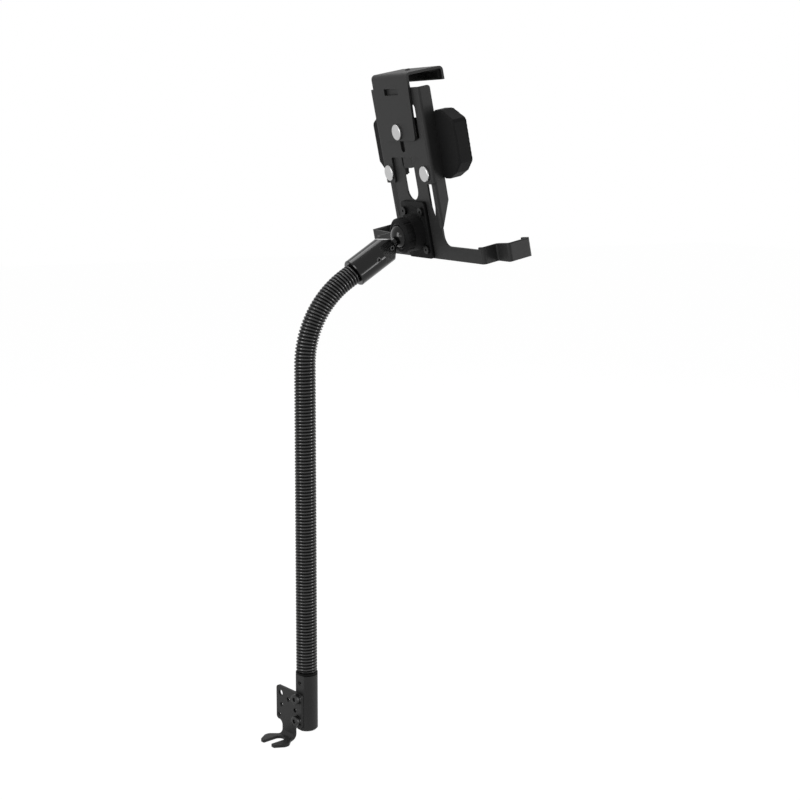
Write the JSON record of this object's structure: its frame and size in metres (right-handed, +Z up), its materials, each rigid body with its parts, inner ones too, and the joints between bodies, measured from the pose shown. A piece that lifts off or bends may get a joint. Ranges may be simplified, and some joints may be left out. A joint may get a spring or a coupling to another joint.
{
  "type": "seat rail tablet mount",
  "caption": "Tablet mount for a car's seat rail: forked bracket, post, ribbed gooseneck, ball joint and an adjustable sheet-metal cradle with corner hooks and a sliding top jaw.",
  "frame": {"origin": "seat bolt's axis at the fork's underside", "axes": "+Z up along the post, +X across the cradle, +Y from the back of the cradle towards the tablet's screen"},
  "size_m": [0.26, 0.2174, 0.6684],
  "materials": {
    "powder_coat": "satin black powder coat",
    "zinc_black": "black oxide fasteners",
    "hose_black": "black coated wound steel",
    "hose_core": "wound steel core",
    "gloss_black": "gloss black over turned metal",
    "moulded_black": "moulded black plastic",
    "nylon": "dark nylon ball liner",
    "bright_steel": "bright plated screw heads",
    "liner_rubber": "black foam rubber liners",
    "plain_steel": "dark plated steel"
  },
  "bodies": {
    "foot": {"seat_bracket": "powder_coat", "post": "powder_coat", "bracket_screw_lower": "zinc_black", "bracket_screw_upper": "zinc_black", "bracket_washer_lower": "zinc_black", "bracket_washer_upper": "zinc_black", "post_set_screw": "zinc_black"},
    "stalk": {"lower_sleeve": "hose_black", "gooseneck": "hose_black", "gooseneck_core": "hose_core"},
    "stud": {"upper_ferrule": "gloss_black", "ferrule_set_screw_rear": "zinc_black", "ferrule_set_screw_front": "zinc_black", "ball_stud": "gloss_black"},
    "seat_front": {"ball_seat_front": "nylon"},
    "seat_rear": {"ball_seat_rear": "nylon"},
    "socket": {"socket_base": "moulded_black", "lower_frame": "powder_coat", "corner_hook_left": "powder_coat", "corner_hook_right": "powder_coat", "tray_pad_left": "liner_rubber", "tray_pad_right": "liner_rubber", "base_screw_lower_left": "plain_steel", "base_screw_lower_right": "plain_steel", "base_screw_upper_left": "plain_steel", "base_screw_upper_right": "plain_steel", "base_nut_lower_left": "plain_steel", "base_nut_lower_right": "plain_steel", "base_nut_upper_left": "plain_steel", "base_nut_upper_right": "plain_steel"},
    "collar": {"lock_collar": "moulded_black"},
    "carriage": {"upper_frame": "powder_coat", "frame_clamp_screw_left": "bright_steel", "frame_clamp_screw_right": "bright_steel", "frame_clamp_washer_left": "plain_steel", "frame_clamp_washer_right": "plain_steel", "frame_clamp_nut_left": "plain_steel", "frame_clamp_nut_right": "plain_steel", "side_wing_left": "moulded_black", "side_wing_right": "moulded_black", "wing_pad_left": "liner_rubber", "wing_pad_right": "liner_rubber", "wing_screw_lower_left": "plain_steel", "wing_screw_lower_right": "plain_steel", "wing_screw_upper_left": "plain_steel", "wing_screw_upper_right": "plain_steel"},
    "jaw": {"top_jaw": "powder_coat", "jaw_pad": "liner_rubber", "jaw_rivet": "zinc_black", "jaw_nut_bar": "plain_steel", "jaw_clamp_screw": "bright_steel"}
  },
  "joints": [
    {"name": "stalk_swivel", "type": "hinge", "parent": "foot", "child": "stalk", "pos_m": [0.01017, 0.0267, 0.061], "axis": [0, 0, 1], "continuous": true},
    {"name": "gooseneck_bend", "type": "hinge", "parent": "stalk", "child": "stud", "pos_m": [0.01017, 0.0267, 0.233], "axis": [1, 0, 0], "range_deg": [-20, 20], "deforming": ["gooseneck", "gooseneck_core"]},
    {"name": "ball_tilt", "type": "hinge", "parent": "stud", "child": "seat_front", "pos_m": [0.01017, 0.1365, 0.50585], "axis": [1, 0, 0], "range_deg": [-9, 51]},
    {"name": "ball_pan", "type": "hinge", "parent": "seat_front", "child": "seat_rear", "pos_m": [0.01017, 0.1365, 0.50585], "axis": [0, -0.2079, 0.9781], "range_deg": [-15, 15]},
    {"name": "ball_roll", "type": "hinge", "parent": "seat_rear", "child": "socket", "pos_m": [0.01017, 0.1365, 0.50585], "axis": [0, 0.9781, 0.2079], "continuous": true},
    {"name": "lock_collar_turn", "type": "hinge", "parent": "socket", "child": "collar", "pos_m": [0.01017, 0.1365, 0.50585], "axis": [0, 0.9781, 0.2079], "range_deg": [-90, 0]},
    {"name": "frame_slide", "type": "slide", "parent": "socket", "child": "carriage", "axis": [0, -0.2079, 0.9781], "range_m": [-0.015, 0.045]},
    {"name": "jaw_slide", "type": "slide", "parent": "carriage", "child": "jaw", "axis": [0, -0.2079, 0.9781], "range_m": [-0.01, 0.03]}
  ]
}
